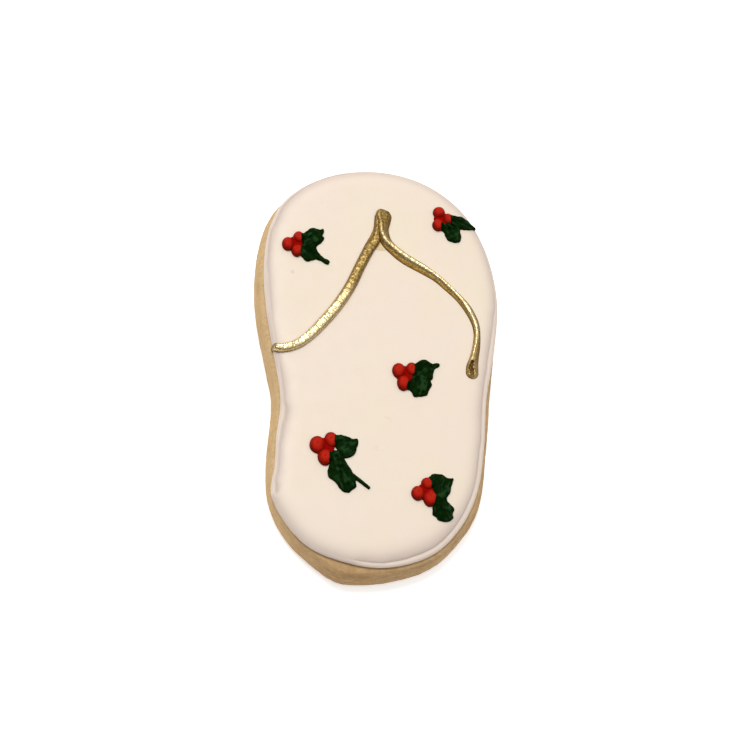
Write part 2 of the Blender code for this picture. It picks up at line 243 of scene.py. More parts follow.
def distance_to_line(places, line, closed):
    """Distance from each place to a line of points."""
    ends = np.roll(line, -1, axis=0) if closed else line[1:]
    best = np.full(len(places), np.inf)
    for start, end in zip(line, ends):
        run = end - start
        share = np.clip((places - start) @ run / max(run @ run, 1e-9), 0, 1)
        best = np.minimum(best, np.sum((places - start - share[:, None] * run) ** 2, axis=1))
    return np.sqrt(best)


def inside_loop(places, loop):
    """True for each place that lies inside a closed loop."""
    crossings = np.zeros(len(places), int)
    for (x1, y1), (x2, y2) in zip(loop, np.roll(loop, -1, axis=0)):
        if y1 != y2:
            crossing_x = x1 + (places[:, 1] - y1) * (x2 - x1) / (y2 - y1)
            crossings += ((y1 > places[:, 1]) != (y2 > places[:, 1])) & (places[:, 0] < crossing_x)
    return crossings % 2 == 1


def relief(points, size, seed, octaves=1):
    """Seeded noise from about -1 to 1 at each point, with bumps of the given size."""
    offset = Vector((17.3 * seed, -9.1 * seed, 5.7 * seed))
    scaled = np.asarray(points, float).reshape(len(points), -1) / size
    flat = np.zeros((len(scaled), 3 - scaled.shape[1]))
    scaled = np.hstack([scaled, flat])
    return np.array([
        noise.fractal(Vector(point) + offset, 0.8, 2.1, octaves) for point in scaled])


def hump(distance, width):
    """A smooth bump, 1 at no distance and fading over a width."""
    return np.exp(-(distance / width) ** 2)


# Meshes.

def add_piece(name, corners, faces, surface, nodes, marks):
    """Make a smooth mesh piece that rides on the cookie and stands for CAD nodes."""
    mesh = bpy.data.meshes.new(name)
    mesh.from_pydata((np.asarray(corners) * MM).tolist(), [], faces)
    mesh.shade_smooth()
    mesh.materials.append(surface)
    for label, values in marks.items():
        mesh.attributes.new(label, "FLOAT", "POINT").data.foreach_set("value", np.ravel(values))
    piece = bpy.data.objects.new(name, mesh)
    bpy.context.scene.collection.objects.link(piece)
    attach(piece, "root")
    if nodes:
        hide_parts(*nodes)
    return piece


def band_faces(rings, around):
    """Quads between consecutive closed rings of equal count."""
    low = np.arange(rings - 1)[:, None] * around + np.arange(around)[None, :]
    beside = np.arange(rings - 1)[:, None] * around + np.roll(np.arange(around), -1)[None, :]
    quads = np.stack([low, beside, beside + around, low + around], axis=-1)
    return quads.reshape(-1, 4).tolist()


def zip_faces(ring, first, upwards):
    """Quads that close a long narrow ring by joining its two sides."""
    count = len(ring)
    order = (np.arange(count) + int(np.argmax(ring[:, 1]))) % count + first
    faces = [[order[0], order[1], order[-1]]]
    for step in range(1, count // 2 - 1):
        faces.append([order[step], order[step + 1], order[-step - 1], order[-step]])
    middle = count // 2
    faces.append([order[middle - 1], order[middle], order[middle + 1]])
    return [[int(corner) for corner in (face if upwards else face[::-1])] for face in faces]


def towards_spine(ring, shares):
    """Flat rings from a ring in towards a line along the middle of the sole."""
    spine = np.column_stack([np.full(len(ring), 0.5), 0.55 * ring[:, 1]])
    return [ring + share * (spine - ring) for share in shares]


def outward_normals(rings):
    """Unit normals of a grid of closed rings, which run anticlockwise from the bottom up."""
    around = np.roll(rings, -1, axis=1) - np.roll(rings, 1, axis=1)
    normals = np.cross(around, np.gradient(rings, axis=0))
    return normals / np.maximum(np.linalg.norm(normals, axis=2), 1e-9)[..., None]


# Materials.

class Surface:
    """A Principled material whose patterns are noise in the object's own coordinates."""

    def __init__(self, name, **sockets):
        self.material = bpy.data.materials.new(name)
        self.material.use_nodes = True
        self.nodes = self.material.node_tree.nodes
        self.links = self.material.node_tree.links
        self.shader = self.nodes["Principled BSDF"]
        for label, value in sockets.items():
            self.shader.inputs[label.replace("_", " ")].default_value = value
        self.place = self.nodes.new("ShaderNodeTexCoord").outputs["Object"]
        self.normal = None

    def ramp(self, value, low, high, start=0.0, end=1.0):
        """Map a value from low..high to start..end, and hold it there."""
        node = self.nodes.new("ShaderNodeMapRange")
        for label, number in zip(("From Min", "From Max", "To Min", "To Max"), (low, high, start, end)):
            node.inputs[label].default_value = number
        self.links.new(value, node.inputs["Value"])
        return node.outputs["Result"]

    def patches(self, size, low=0.35, high=0.65, detail=2.0, stretch=(1, 1, 1)):
        """A mask of noise, from 0 to 1, with patches of a size in millimetres."""
        mapping = self.nodes.new("ShaderNodeMapping")
        mapping.inputs["Scale"].default_value = [1 / (size * MM * length) for length in stretch]
        self.links.new(self.place, mapping.inputs["Vector"])
        pattern = self.nodes.new("ShaderNodeTexNoise")
        pattern.inputs["Scale"].default_value = 1.0
        pattern.inputs["Detail"].default_value = detail
        self.links.new(mapping.outputs["Vector"], pattern.inputs["Vector"])
        return self.ramp(pattern.outputs["Fac"], low, high)

    def mark(self, label):
        """A value stored on the mesh's corners."""
        node = self.nodes.new("ShaderNodeAttribute")
        node.attribute_name = label
        return node.outputs["Fac"]

    def mix(self, mask, first, second):
        """Mix two colours, each a triple or a socket, by a mask."""
        node = self.nodes.new("ShaderNodeMix")
        node.data_type = "RGBA"
        self.links.new(mask, node.inputs["Factor"])
        colours = [socket for socket in node.inputs if socket.type == "RGBA"]
        for socket, colour in zip(colours, (first, second)):
            if isinstance(colour, tuple):
                socket.default_value = (*colour, 1.0)
            else:
                self.links.new(colour, socket)
        return [socket for socket in node.outputs if socket.type == "RGBA"][0]

    def bump(self, height, depth):
        """Add relief of a depth in millimetres to the normal."""
        node = self.nodes.new("ShaderNodeBump")
        node.inputs["Strength"].default_value = 1.0
        node.inputs["Distance"].default_value = depth * MM
        self.links.new(height, node.inputs["Height"])
        if self.normal:
            self.links.new(self.normal, node.inputs["Normal"])
        self.normal = node.outputs["Normal"]
        self.links.new(self.normal, self.shader.inputs["Normal"])

    def drive(self, label, socket):
        """Drive one of the shader's inputs."""
        self.links.new(socket, self.shader.inputs[label])


def biscuit_surface():
    """Pale baked dough: golden on top, a little browner down the wall and underneath."""
    dough = Surface("baked_dough", Specular_IOR_Level=0.25)
    golden = dough.mix(dough.patches(7), (0.62, 0.43, 0.215), (0.68, 0.48, 0.255))
    golden = dough.mix(dough.patches(0.8, 0.45, 0.75, detail=4), golden, (0.52, 0.33, 0.15))
    streaks = dough.patches(0.5, 0.4, 0.7, detail=3, stretch=(7, 7, 1))
    wall = dough.mix(streaks, (0.67, 0.46, 0.23), (0.50, 0.31, 0.14))
    wall = dough.mix(dough.patches(5), wall, (0.62, 0.415, 0.20))
    colour = dough.mix(dough.mark("wall"), golden, wall)
    brown = dough.mix(dough.patches(1.2, 0.3, 0.7, detail=4), (0.57, 0.37, 0.185), (0.41, 0.245, 0.11))
    brown = dough.mix(streaks, brown, (0.38, 0.21, 0.09))
    colour = dough.mix(dough.mark("heel"), colour, brown)
    dough.drive("Base Color", dough.mix(dough.mark("browned"), colour, (0.36, 0.20, 0.08)))
    dough.drive("Roughness", dough.ramp(dough.patches(1.5), 0, 1, 0.75, 0.95))
    dough.bump(dough.patches(0.35, 0.3, 0.7, detail=3), 0.08)
    return dough.material


def icing_surface():
    """Cream royal icing: satin, slightly translucent, with faint drifts of colour, painted shade greying
    its rolled rim, and its small dents painted darker.
    """
    cream = Surface("cream_icing", Specular_IOR_Level=0.35, Subsurface_Weight=0.2)
    cream.shader.inputs["Subsurface Radius"].default_value = (1.0, 0.8, 0.6)
    cream.shader.inputs["Subsurface Scale"].default_value = MM
    colour = cream.mix(cream.patches(26, 0.38, 0.62, detail=1), (0.85, 0.725, 0.605), (0.84, 0.73, 0.575))
    colour = cream.mix(cream.patches(16, 0.45, 0.7, detail=1), colour, (0.85, 0.72, 0.60))
    # painted shade: the rim mark greys the rolled edge, most just inside the crease
    colour = cream.mix(cream.mark("rim"), colour, (0.66, 0.55, 0.475))
    # the small dents are painted darker: partly their own colour, partly painted shade in the dents
    cream.drive("Base Color", cream.mix(cream.mark("mark"), colour, (0.60, 0.47, 0.36)))
    cream.drive("Roughness", cream.ramp(cream.patches(3), 0, 1, 0.42, 0.54))
    cream.bump(cream.patches(0.8), 0.006)
    return cream.material


def gold_surface():
    """Gold lustre painted over icing: bright and glinting, matt by the toe; a painted highlight pales it
    towards the left strap's lower end, and painted shade turns it bronze at its foot and near-black in the
    curl's hollow and round the left strap's tip.
    """
    gold = Surface("gold_lustre", Metallic=1.0, Coat_Weight=0.25, Coat_Roughness=0.2)
    patches = gold.patches(0.9, detail=3)
    deep = gold.mix(patches, (0.60, 0.41, 0.15), (0.88, 0.68, 0.36))
    # painted highlight: paler, brighter gold, graded along y, most at the left strap's lower end
    bright = gold.mix(gold.mark("painted_highlight"), deep, gold.mix(patches, (0.85, 0.65, 0.30), (1.0, 0.86, 0.52)))
    matt = gold.mix(gold.patches(0.45, 0.4, 0.6, detail=3), (0.21, 0.13, 0.028), (0.53, 0.36, 0.12))
    colour = gold.mix(gold.mark("dull"), bright, matt)
    # painted shade: the gold's foot and lower flanks turn dark bronze
    colour = gold.mix(gold.mark("foot"), colour, (0.20, 0.095, 0.006))
    # painted shade: near-black brown in the curl's hollow and round the left strap's tip
    gold.drive("Base Color", gold.mix(gold.mark("pit_shade"), colour, (0.10, 0.045, 0.002)))
    shine = gold.mix(gold.patches(0.6), (0.18, 0.18, 0.18), (0.34, 0.34, 0.34))
    rough = gold.mix(gold.patches(0.3), (0.42, 0.42, 0.42), (0.60, 0.60, 0.60))
    gold.drive("Roughness", gold.mix(gold.mark("dull"), shine, rough))
    gold.bump(gold.patches(0.35, detail=2), 0.035)
    return gold.material


def smear_surface():
    """Thin gold paint brushed straight onto the icing between the straps."""
    paint = Surface("gold_wash", Specular_IOR_Level=0.2)
    paint.drive("Base Color", paint.mix(paint.patches(0.7), (0.70, 0.50, 0.26), (0.80, 0.62, 0.38)))
    paint.drive("Roughness", paint.ramp(paint.patches(0.5), 0, 1, 0.45, 0.6))
    paint.bump(paint.patches(0.4), 0.02)
    return paint.material


def berry_surface():
    """Red icing, satin, with painted shade deeper red where the berries run into one another and down
    their sides, and a painted highlight on their tops.
    """
    red = Surface("red_icing", Specular_IOR_Level=0.03)
    colour = red.mix(red.patches(0.9), (0.33, 0.005, 0.001), (0.48, 0.018, 0.007))
    # painted highlight: a lighter ring on each berry's top
    colour = red.mix(red.mark("top"), colour, (0.46, 0.016, 0.006))
    # painted shade: darker red down each berry's steep sides
    colour = red.mix(red.mark("edge"), colour, (0.16, 0.006, 0.003))
    # painted shade: deeper red where the berries meet, also rougher there
    red.drive("Base Color", red.mix(red.mark("joint_shade"), colour, (0.27, 0.002, 0.0005)))
    red.drive("Roughness", red.ramp(red.mark("joint_shade"), 0, 0.6, 0.4, 1.0))
    red.bump(red.patches(0.5), 0.015)
    return red.material


def leaf_surface():
    """Dark green icing, satin, with a painted sheen lighter along its ridges."""
    green = Surface("green_icing", Specular_IOR_Level=0.015)
    colour = green.mix(green.patches(1.5), (0.001, 0.009, 0.0005), (0.003, 0.017, 0.001))
    # painted sheen: lighter green along the ridges
    green.drive("Base Color", green.mix(green.mark("ridge"), colour, (0.013, 0.045, 0.012)))
    green.drive("Roughness", green.ramp(green.patches(0.8), 0, 1, 0.45, 0.6))
    green.bump(green.patches(0.4), 0.03)
    return green.material


# The biscuit.

def make_biscuit():
    """The cut dough: rounded edges, a streaky wall and a grainy top and underside."""
    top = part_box("biscuit")[1].z / MM
    loop = outer_loop("biscuit", 1.6, BISCUIT_AROUND)
    inward = inward_normals(loop)
    profile = smooth_curve([
        (1.6, 0.0), (0.7, 0.1), (0.2, 0.55), (0.0, 1.4), (0.03, 2.6), (0.15, 3.8),
        (0.35, 4.9), (0.8, 5.75), (1.5, top - 0.06), (2.6, top)], 40, closed=False)
    under = towards_spine(loop + 1.6 * inward, np.linspace(0.97, 0.02, 26))
    over = towards_spine(loop + 2.6 * inward, np.linspace(0.01, 0.97, 40))
    rings = [np.column_stack([ring, np.zeros(len(ring))]) for ring in under]
    rings += [
        np.column_stack([loop + inset * inward, np.full(len(loop), height)])
        for inset, height in profile]
    rings += [np.column_stack([ring, np.full(len(ring), top)]) for ring in over]
    rings = np.array(rings)
    grid = rings.shape[:2]
    flat = rings.reshape(-1, 3)
    streaks = relief(flat / [4.0, 4.0, 0.45], 1.0, 3, octaves=3).reshape(grid)
    crumbs = relief(flat, 0.8, 5, octaves=2).reshape(grid)
    swell = relief(flat, 8.0, 7).reshape(grid)
    height = rings[..., 2]
    on_wall = np.clip(np.minimum((height + 0.2) / 0.8, (top - height) / 1.2), 0, 1)
    push = CRUMB_DEPTH * crumbs
    push += on_wall * (STREAK_DEPTH * streaks + SWELL_DEPTH * swell - WALL_INSET)
    rings = rings + np.minimum(push, 0.03)[..., None] * outward_normals(rings)
    rings[..., 2] = np.maximum(rings[..., 2], 0)
    faces = band_faces(len(rings), BISCUIT_AROUND)
    faces += zip_faces(rings[0], 0, upwards=False)
    faces += zip_faces(rings[-1], (len(rings) - 1) * BISCUIT_AROUND, upwards=True)
    browned = 0.7 * np.clip(1 - height / 0.6, 0, 1) + 0.2 * np.clip(1 - height / 2.5, 0, 1)
    wall = np.clip((top - height - 0.2) / 0.9, 0, 1)
    heel = 0.85 * np.clip((BROWN_FROM - rings[..., 1]) / HEEL_FADE, 0, 1)
    # the dough is also painted darker towards its right side
    heel = np.maximum(heel, 0.55 * np.clip((rings[..., 0] - BROWN_SIDE) / BROWN_SIDE_FADE, 0, 1))
    return add_piece(
        "dough", rings.reshape(-1, 3), faces, biscuit_surface(), ["biscuit"],
        {"browned": browned, "wall": wall, "heel": heel})


# The icing.

def rim_value(places, column):
    """One column of RIM at flat places, eased from each entry to the next."""
    entries = np.array(RIM)
    away = np.linalg.norm(places[:, None, :2] - entries[None, :, :2], axis=2)
    weight = 1 / (away ** 4 + 0.1)
    return weight @ entries[:, column] / weight.sum(axis=1)


def towards_heel(places, elsewhere, at_heel):
    """A value that changes over to another one towards the heel."""
    share = np.clip((HEEL_FROM - places[:, 1]) / HEEL_FADE, 0, 1)
    return elsewhere + (at_heel - elsewhere) * share


def rounded(share):
    """A rise from 0 to 1 that is steep at first and then levels out."""
    return np.sqrt(1 - (1 - np.clip(share, 0, 1)) ** 2.2)


def icing_height(places):
    """Height of the icing's upper surface at flat places."""
    places = np.asarray(places, float)
    inset = distance_to_line(places, ICING_LOOP, closed=True)
    inset = np.where(inside_loop(places, ICING_LOOP), inset, 0)
    bead = rim_value(places, 2)
    strength = rim_value(places, 3)
    roll = towards_heel(places, ROLL_WIDTH, ROLL_WIDTH_AT_HEEL)
    bead_rise = towards_heel(places, BEAD_RISE, BEAD_RISE_AT_HEEL)
    crease_rise = towards_heel(places, CREASE_RISE, CREASE_RISE_AT_HEEL)
    tall = ICING_TOP - ICING_LOW
    plain = tall * rounded(inset / roll)
    outside = np.clip(2 * inset / bead - 1, -1, 1)
    piped = np.where(
        outside < 0, bead_rise * np.sqrt(1 - outside ** 2),
        crease_rise + (bead_rise - crease_rise) * np.sqrt(1 - outside ** 2))
    flooded = crease_rise + (tall - crease_rise) * rounded((inset - bead) / roll)
    creased = np.where(inset < bead, piped, flooded)
    height = ICING_LOW + plain + strength * (creased - plain)
    fade = np.clip(inset / 2, 0, 1)
    height += FLOOD_RELIEF * fade * (relief(places, 14, 11) + 0.4 * relief(places, 5, 12) - 0.6)
    for x, y, radius, depth in ICING_MARKS:
        height -= depth * hump(np.hypot(places[:, 0] - x, places[:, 1] - y), radius)
    return height


def make_icing():
    """The flooded icing: a domed sheet with its rolled rim, closed underneath."""
    inward = inward_normals(ICING_LOOP)
    foot = [(4.0, -ICING_FOOT), (0.5, -ICING_FOOT), (0.25, 0.02), (0.08, 0.2)]
    rings = [
        np.column_stack([ICING_LOOP + inset * inward, np.full(ICING_AROUND, BISCUIT_TOP + height)])
        for inset, height in foot]
    insets = 2.4 * (np.arange(34) / 33) ** 1.5
    flats = [ICING_LOOP + inset * inward for inset in insets]
    flats += towards_spine(flats[-1], 0.97 * (np.arange(1, 53) / 52) ** 1.25)
    flats = np.array(flats)
    heights = icing_height(flats.reshape(-1, 2)).reshape(flats.shape[:2])
    rings += list(np.dstack([flats, heights]))
    rings = np.array(rings)
    faces = band_faces(len(rings), ICING_AROUND)
    faces += zip_faces(rings[0], 0, upwards=False)
    faces += zip_faces(rings[-1], (len(rings) - 1) * ICING_AROUND, upwards=True)
    corners = rings.reshape(-1, 3)
    mark = np.zeros(len(corners))
    # darker paint in the small dents: partly their own colour, partly painted shade
    for x, y, radius, depth in ICING_MARKS:
        mark += 6 * depth * hump(np.hypot(corners[:, 0] - x, corners[:, 1] - y), radius)
    inset = distance_to_line(corners[:, :2], ICING_LOOP, closed=True)
    past_crease = inset - rim_value(corners, 2) * rim_value(corners, 3)
    shade = RIM_SHADE * towards_heel(corners, ROLL_WIDTH, ROLL_WIDTH_AT_HEEL)
    # painted shade along the rolled rim: strongest just inside the crease, lighter on the bead outside it
    rim = np.where(past_crease > 0, hump(past_crease, shade), 0.6 + 0.4 * hump(past_crease, 0.3))
    marks = {"mark": mark, "rim": rim}
    return add_piece("flood", corners, faces, icing_surface(), ["icing"], marks)


# The straps.

def strap_section(share, crest, skirt, ridge_width, ridge_power):
    """Height, from 0 to 1, across a strap: a rounded ridge above a broad sloping skirt."""
    reach = np.where(share > crest, 1 - crest, 1 + crest)
    aside = np.abs(share - crest) / reach
    ridge = np.sqrt(1 - np.clip(aside * np.maximum(reach / ridge_width, 1), 0, 1) ** ridge_power)
    foot = skirt * np.sqrt(1 - aside ** 2.5) * (1 - 0.35 * aside)
    return (ridge ** 8 + foot ** 8) ** 0.125


def make_strap(name, line, ridge, wrinkle, wrinkle_size, bright, painted_highlight, node, surface):
    """A piped strap laid on the icing, with rounded ends and wrinkled gold."""
    length = np.sum(np.linalg.norm(np.diff(np.array(line)[:, :2], axis=0), axis=1))
    steps = int(length / STRAP_STEP)
    reach = (1 - np.cos(np.linspace(0, pi, steps))) / 2
    even = smooth_curve(line, steps, closed=False)
    path = np.stack([np.interp(reach, np.linspace(0, 1, steps), column) for column in even.T], axis=1)
    along = np.gradient(path[:, :2], axis=0)
    along /= np.linalg.norm(along, axis=1)[:, None]
    side = np.column_stack([-along[:, 1], along[:, 0]])
    side *= np.sign(side[steps // 2] @ [0, 1])
    run = length * reach
    ends = np.minimum(run / path[0, 2], (length - run) / path[-1, 2])
    taper = np.sqrt(1 - (1 - np.clip(ends, 0.001, 1)) ** 2)
    turn = np.linspace(0, pi, STRAP_SECTION)
    share = -np.cos(turn)
    half = (path[:, 2] * taper)[:, None]
    flats = path[:, None, :2] + side[:, None, :] * (share[None, :] * half)[..., None]
    ground = icing_height(flats.reshape(-1, 2)).reshape(flats.shape[:2])
    rise = strap_section(share[None, :], path[:, 4:5], path[:, 5:6], *ridge)
    height = (path[:, 3] * taper)[:, None]
    spots = np.dstack([
        np.broadcast_to(run[:, None] / wrinkle_size[0], flats.shape[:2]),
        share[None, :] * path[:, 2:3] / wrinkle_size[1]])
    folds = relief(spots.reshape(-1, 2), 1.0, len(line), octaves=2).reshape(flats.shape[:2])
    lift = height * rise + wrinkle * folds * np.clip(rise * 1.6, 0, 1) * taper[:, None]
    away = distance_to_line(flats.reshape(-1, 2), np.array(CURL_HOLLOW), closed=False)
    hollow = hump(away, CURL_WIDTH).reshape(flats.shape[:2])
    # painted shade mask: the curl's hollow and the left strap's tip
    pit_shade = np.maximum(hollow, hump(np.linalg.norm(flats - LEFT_STRAP[-1][:2], axis=2), TIP_SHADE))
    lift *= 1 - 0.9 * hollow
    lift += (0.2 + 0.15 * folds) * hump(hollow - 0.25, 0.12) * (rise > 0.2)
    upper = np.dstack([flats, ground + lift - STRAP_SINK * (rise < 0.01)])
    lower = upper[:, -2:0:-1].copy()
    lower[..., 2] = (ground - STRAP_SINK - 0.1)[:, -2:0:-1]
    tube = np.concatenate([upper, lower], axis=1)
    around = tube.shape[1]
    faces = [face[::-1] for face in band_faces(steps, around)]
    faces.append(list(range(around)))
    faces.append(list(range(steps * around - 1, (steps - 1) * around - 1, -1)))
    under = np.ones((steps, around - STRAP_SECTION))
    # painted shade mask on the gold's foot and lower flanks, weaker round the curl
    foot = np.clip(1 - rise * taper[:, None] / FOOT_SHADE_SHARE, 0, 1)
    foot *= 1 - 0.7 * hump(np.hypot(flats[..., 0] - CURL[0], flats[..., 1] - CURL[1]), CURL_RADIUS)
    foot = np.concatenate([foot, under], axis=1)
    pit_shade = np.concatenate([pit_shade, 0 * under], axis=1)
    dull = np.clip((tube[..., 1] - bright[1]) / DULL_FADE, 0, 1)
    dull = np.maximum(dull, 0.5 * np.clip((bright[0] - tube[..., 1]) / DULL_FADE, 0, 1))
    skirt = share[None, :] < path[:, 4:5] - ridge[0]
    dull[:, :STRAP_SECTION] = np.maximum(dull[:, :STRAP_SECTION], skirt)
    marks = {"foot": foot, "dull": dull, "pit_shade": pit_shade, "painted_highlight": np.interp(tube[..., 1], *painted_highlight)}
    return add_piece(name, tube.reshape(-1, 3), faces, surface, [node], marks)


# Berries, leaves and the smear of paint.

def berry_sizes(node):
    """Middle and half sizes of a piped berry, from its CAD node."""
    low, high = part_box(node)
    middle = np.array([low.x + high.x, low.y + high.y]) / 2 / MM
    half = np.array([high.x - low.x, high.y - low.y]) / 2 / MM
    return middle, BERRY_SWELL * half


def berries_of(place):
    """The berry nodes of a sprig."""
    return [name for name in sorted(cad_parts) if name.startswith("berry_" + place)]


def sprig_middle(place):
    """The flat place in the middle of a sprig's berries."""
    return np.mean([berry_sizes(node)[0] for node in berries_of(place)], axis=0)


def berry_rise(places, nodes):
    """How high the berries stand above the icing at flat places, and 0 beside them."""
    rise = np.zeros(len(places))
    for node in nodes:
        middle, half = berry_sizes(node)
        share = np.linalg.norm((places - middle) / half, axis=1)
        rise = np.maximum(rise, BERRY_TALL * np.sqrt(1 - np.clip(share, 0, 1) ** 2.3))
    return rise


def make_berry(node, surface, seed):
    """A piped dot: a slightly uneven dome with a faint dimple where the tip was lifted."""
    middle, half = berry_sizes(node)
    profile = smooth_curve([
        (0.86, -0.12), (0.95, 0.05), (1.0, 0.20), (0.96, 0.44), (0.84, 0.68), (0.64, 0.86),
        (0.42, 0.965), (0.22, 0.985), (0.04, 0.95)], 30, closed=False)
    angles = np.linspace(0, 2 * pi, 48, endpoint=False)
    circle = np.column_stack([np.cos(angles), np.sin(angles)])
    ground = icing_height([middle])[0] - BERRY_SINK
    tall = BERRY_TALL + BERRY_SINK
    rings = np.array([
        np.column_stack([middle + half * radius * circle, np.full(48, ground + tall * height)])
        for radius, height in profile])
    flat = rings.reshape(-1, 3)
    rings += (0.07 * relief(flat, 1.4, seed)).reshape(rings.shape[:2])[..., None] * outward_normals(rings)
    faces = band_faces(len(rings), 48)
    faces.append(list(range(47, -1, -1)))
    faces.append(list(range(len(flat) - 48, len(flat))))
    corners = rings.reshape(-1, 3)
    beside = sprig_middle(node.split("_", 1)[1][:-2])
    # painted shade where the berries run into one another
    joint_shade = hump(np.linalg.norm(corners[:, :2] - beside, axis=1), JOINT_SHADE_WIDTH)
    height = np.repeat(profile[:, 1], 48)
    aside = np.repeat(profile[:, 0], 48)
    # top: a painted highlight ring on the dome
    marks = {
        "joint_shade": joint_shade, "top": hump(aside - 0.35, 0.3) * (height > 0.5),
        # edge: painted shade on the steep sides
        "edge": np.clip((aside - 0.62) / 0.38, 0, 1)}
    return add_piece(node + "_dot", corners, faces, surface, [node], marks)


def make_web(place, surface):
    """The red icing that joins a sprig's three berries in their middle."""
    middle = sprig_middle(place)
    away = [np.linalg.norm(berry_sizes(node)[0] - middle) for node in berries_of(place)]
    angles = np.linspace(0, 2 * pi, 60, endpoint=False)
    outline = middle + WEB_SPREAD * np.mean(away) * np.column_stack([np.cos(angles), np.sin(angles)])

    def lift(places, inset):
        # the web is painted in full with the painted shade of the berries' meeting place
        joint_shade = np.ones(len(places))
        marks = {"joint_shade": joint_shade, "top": 0 * joint_shade, "edge": 0 * joint_shade}
        return WEB_HEIGHT * np.sqrt(1 - (1 - np.clip(inset / 0.8, 0, 1)) ** 2), marks

    return raised_patch("berry_web_" + place, outline, lift, surface, [], 0.15, 0.1)


def raised_patch(name, loop, lift, surface, nodes, spacing, sink):
    """A closed patch on the icing inside a loop, lifted by a function of place and inset."""
    low = loop.min(axis=0)
    high = loop.max(axis=0)
    columns, rows = np.meshgrid(np.arange(low[0], high[0], spacing), np.arange(low[1], high[1], spacing))
    columns = columns + (np.arange(len(rows)) % 2)[:, None] * spacing / 2
    grid = np.column_stack([columns.ravel(), rows.ravel()])
    grid = grid[inside_loop(grid, loop)]
    inset = distance_to_line(grid, loop, closed=True)
    grid = grid[inset > 0.35 * spacing]
    edges = [(index, (index + 1) % len(loop)) for index in range(len(loop))]
    spots = [Vector(place) for place in np.vstack([loop, grid])]
    flat, _, triangles, *_ = geometry.delaunay_2d_cdt(spots, edges, [], 1, 1e-5)
    flat = np.array([list(place) for place in flat])
    inset = distance_to_line(flat, loop, closed=True)
    rise, marks = lift(flat, inset)
    ground = np.maximum(icing_height(flat), ICING_TOP - 0.6)
    corners = np.column_stack([flat, ground + rise - sink * (inset < 0.3 * spacing)])
    base = np.column_stack([flat, ground - sink - 0.05])
    faces = [list(triangle) for triangle in triangles]
    count = len(corners)
    sides = set()
    for triangle in faces:
        sides.update(zip(triangle, triangle[1:] + triangle[:1]))
    rim = [(start, end) for start, end in sorted(sides) if (end, start) not in sides]
    under = [[corner + count for corner in triangle[::-1]] for triangle in faces]
    walls = [[start, start + count, end + count, end] for start, end in rim]
    marks = {label: np.concatenate([values, values]) for label, values in marks.items()}
    return add_piece(
        name, np.vstack([corners, base]), faces + under + walls, surface, nodes, marks)


def leaf_outline(node, crease, seed):
    """A leaf's ragged outline, reaching over the berries and the leaf that lie beside it."""
    rough = foot_loop(node)
    length = np.sum(np.linalg.norm(rough - np.roll(rough, 1, axis=0), axis=1))
    outline = spread(rough, int(length / 0.12), closed=True)
    for _ in range(2):
        outline = (np.roll(outline, 1, axis=0) + 2 * outline + np.roll(outline, -1, axis=0)) / 4
    outward = -inward_normals(outline)
    on_tail = np.clip((distance_to_line(outline, crease, closed=False) - 1.7) / 1.2, 0, 1)
    growth = (LEAF_GROWTH + 0.15 * relief(outline, 0.9, seed)) * (1 - 0.75 * on_tail)
    place = node.split("_", 1)[1][:-2]
    twin = "leaf_" + place + ("_2" if node.endswith("1") else "_1")
    beside = [(middle, half.mean()) for middle, half in map(berry_sizes, berries_of(place))]
    beside += [(spot, 0.0) for spot in foot_loop(twin)]
    lap = np.zeros(len(outline))
    for spot, radius in beside:
        towards = spot - outline
        away = np.linalg.norm(towards, axis=1)
        facing = np.sum(towards * outward, axis=1) / away
        lap = np.maximum(lap, hump(np.maximum(away - radius, 0), 0.8) * np.clip(facing * 1.5, 0, 1))
    return outline + (growth + LEAF_LAP * lap)[:, None] * outward


def make_leaf(place, crease, surface, seed):
    """A piped leaf: a swelling shoulder all round, a crease and soft ridges along it."""
    node = "leaf_" + place
    berries = berries_of(place[:-2])
    crease = np.array(crease)
    start, end = crease
    along = (end - start) / np.linalg.norm(end - start)
    across = np.array([-along[1], along[0]])

    def lift(places, inset):
        run = (places - start) @ along
        beside = (places - start) @ across
        shoulder = np.sqrt(1 - (1 - np.clip(inset / LEAF_SHOULDER, 0, 1)) ** 2)
        ruffle = relief(np.column_stack([run / 2.4, beside / 0.75]), 1.0, seed, octaves=2)
        ripple = relief(np.column_stack([run / 0.9, beside / 1.8]), 1.0, seed + 40)
        to_crease = distance_to_line(places, crease, closed=False)
        rise = shoulder * (LEAF_HEIGHT - 0.35 + 0.28 * ruffle + 0.15 * ripple)
        rise -= 0.30 * shoulder * hump(to_crease, 0.32)
        rise = np.maximum(rise, berry_rise(places, berries) + 0.22 * shoulder - 0.02)
        # painted sheen mask along the ruffled ridges
        ridge = np.clip(1.7 * ruffle + 1.0 * ripple, 0, 1) * np.clip(shoulder * 2 - 1, 0, 1)
        return rise, {"ridge": ridge}

    outline = leaf_outline(node, crease, seed)
    return raised_patch(node + "_frill", outline, lift, surface, [node], LEAF_GRID, 0.15)


def make_smear(surface):
    """The thin wash of gold paint in the fork of the straps."""
    def lift(places, inset):
        return 0.05 * np.clip(inset / 0.3, 0, 1), {}

    outline = smooth_curve(GOLD_SMEAR, 90, closed=True)
    return raised_patch("gold_wash", outline, lift, surface, [], 0.25, 0.02)


# Camera, floor and light.

